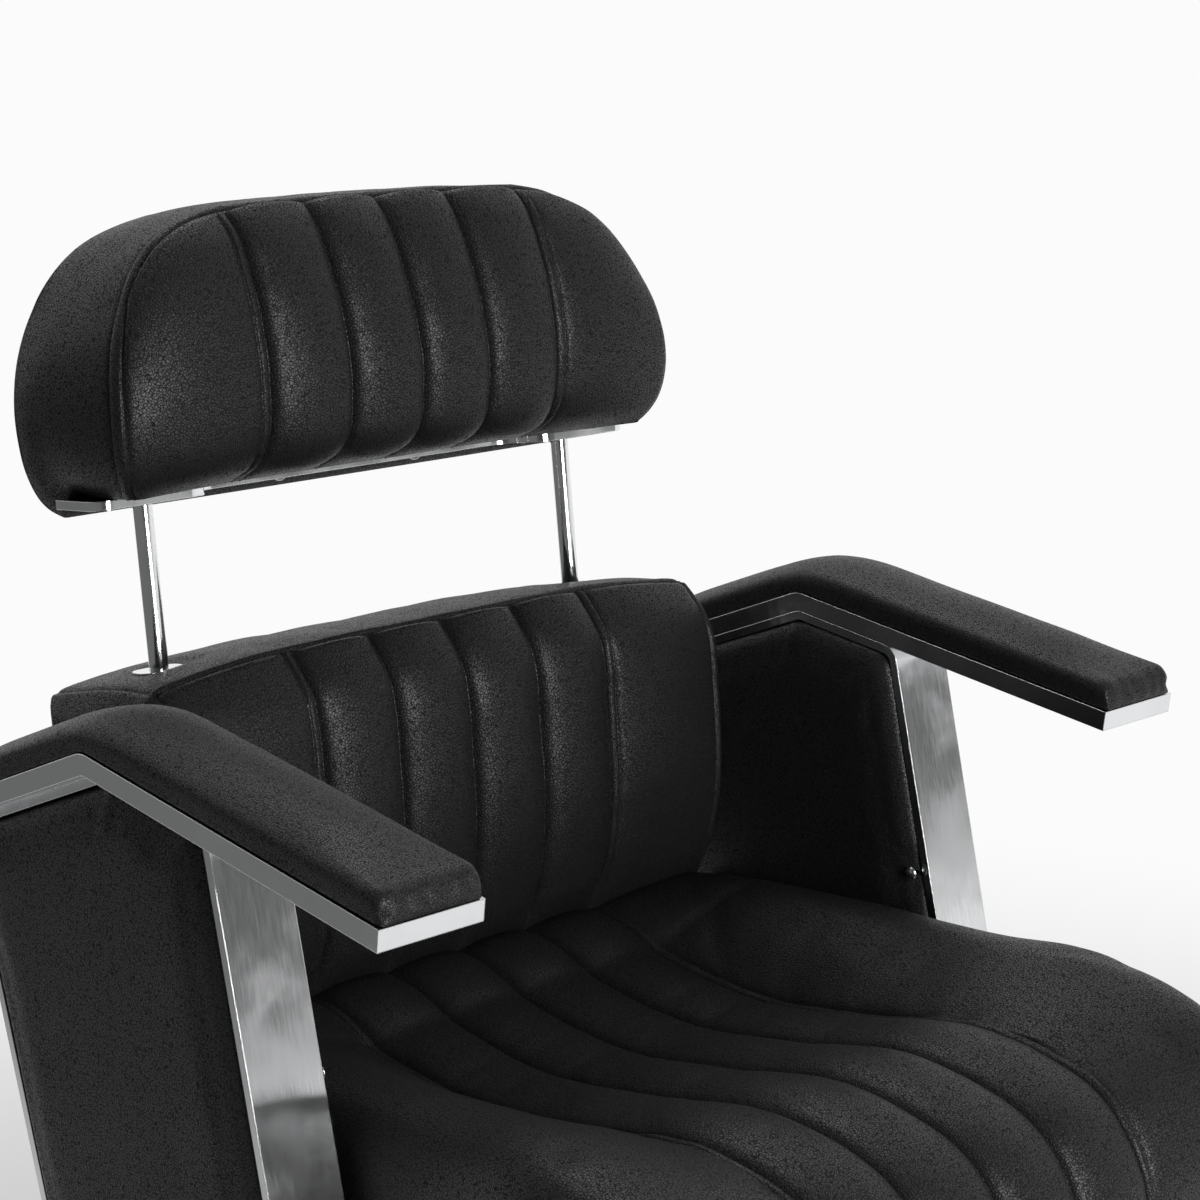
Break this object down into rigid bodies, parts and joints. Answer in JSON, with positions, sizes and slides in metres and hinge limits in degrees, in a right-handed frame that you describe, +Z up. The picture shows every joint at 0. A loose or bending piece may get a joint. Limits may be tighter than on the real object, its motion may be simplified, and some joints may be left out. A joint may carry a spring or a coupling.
{
  "type": "threading chair",
  "caption": "Salon chair with channelled upholstery, a headrest sliding on posts, padded metal arms with side panels, a reclining back, a footrest and a swivelling pump column.",
  "frame": {"origin": "on the floor, under the axis of the column", "axes": "+Z up, the sitter faces -Y, the sitter's left is +X"},
  "size_m": [0.6502, 0.7571, 1.033],
  "materials": {
    "upholstery": "satin",
    "chrome": "polished",
    "black_steel": "satin",
    "bright_steel": "satin",
    "plywood": "matte",
    "rubber": "matte",
    "nylon": "matte"
  },
  "bodies": {
    "base": {"base_plate": "black_steel", "floor_ring": "rubber", "base_dish": "chrome", "base_collar": "chrome", "pump_housing": "black_steel", "pump_bolts": "bright_steel", "pedal_pin": "bright_steel", "column_tube": "chrome", "column_guide": "nylon", "column_cap": "chrome"},
    "pedal": {"pump_pedal": "chrome", "pedal_pad": "rubber"},
    "lift": {"piston": "bright_steel", "swivel_bearing": "nylon"},
    "seat": {"mount_plate": "black_steel", "mount_bolts": "bright_steel", "lift_socket": "black_steel", "seat_rail_left": "black_steel", "seat_rail_right": "black_steel", "cross_tube_front": "black_steel", "cross_tube_rear": "black_steel", "nose_tube": "black_steel", "seat_board": "plywood", "seat_cushion": "upholstery", "side_frame_left": "chrome", "side_frame_right": "chrome", "arm_bar_left": "chrome", "arm_bar_right": "chrome", "arm_pad_left": "upholstery", "arm_pad_right": "upholstery", "side_panel_left": "upholstery", "side_panel_right": "upholstery", "panel_screws": "chrome", "hinge_bracket_left": "black_steel", "hinge_bracket_right": "black_steel", "recline_disc_left": "bright_steel", "recline_disc_right": "bright_steel", "footrest_tube": "chrome", "footrest_tread": "rubber"},
    "release": {"release_rod": "bright_steel", "recline_lever": "chrome", "lever_grip": "nylon"},
    "backrest": {"back_arm_left": "black_steel", "back_arm_right": "black_steel", "back_board": "plywood", "back_bolts": "bright_steel", "guide_tube_left": "bright_steel", "guide_tube_right": "bright_steel", "guide_straps": "black_steel", "escutcheon_left": "chrome", "escutcheon_right": "chrome", "back_cushion": "upholstery"},
    "headrest": {"headrest_post_left": "chrome", "headrest_post_right": "chrome", "headrest_plate": "chrome", "headrest_board": "plywood", "headrest_screws": "bright_steel", "headrest_cushion": "upholstery"}
  },
  "joints": [
    {"name": "seat_lift", "type": "slide", "parent": "base", "child": "lift", "axis": [0, 0, 1], "range_m": [0, 0.15]},
    {"name": "seat_swivel", "type": "hinge", "parent": "lift", "child": "seat", "pos_m": [0, 0, 0.32], "axis": [0, 0, 1], "continuous": true},
    {"name": "pump_pedal", "type": "hinge", "parent": "base", "child": "pedal", "pos_m": [0, 0.068, 0.102], "axis": [-1, 0, 0], "range_deg": [0, 14], "stiffness_Nm_per_rad": 40, "springref_deg": -8.59},
    {"name": "back_recline", "type": "hinge", "parent": "seat", "child": "backrest", "pos_m": [0, 0.226, 0.38], "axis": [-1, 0, 0], "range_deg": [0, 45]},
    {"name": "recline_release", "type": "hinge", "parent": "seat", "child": "release", "pos_m": [0, 0.226, 0.38], "axis": [-1, 0, 0], "range_deg": [0, 25], "stiffness_Nm_per_rad": 4, "springref_deg": -11.46},
    {"name": "headrest_height", "type": "slide", "parent": "backrest", "child": "headrest", "axis": [0, 0.1132, 0.9936], "range_m": [-0.09, 0.05]}
  ]
}
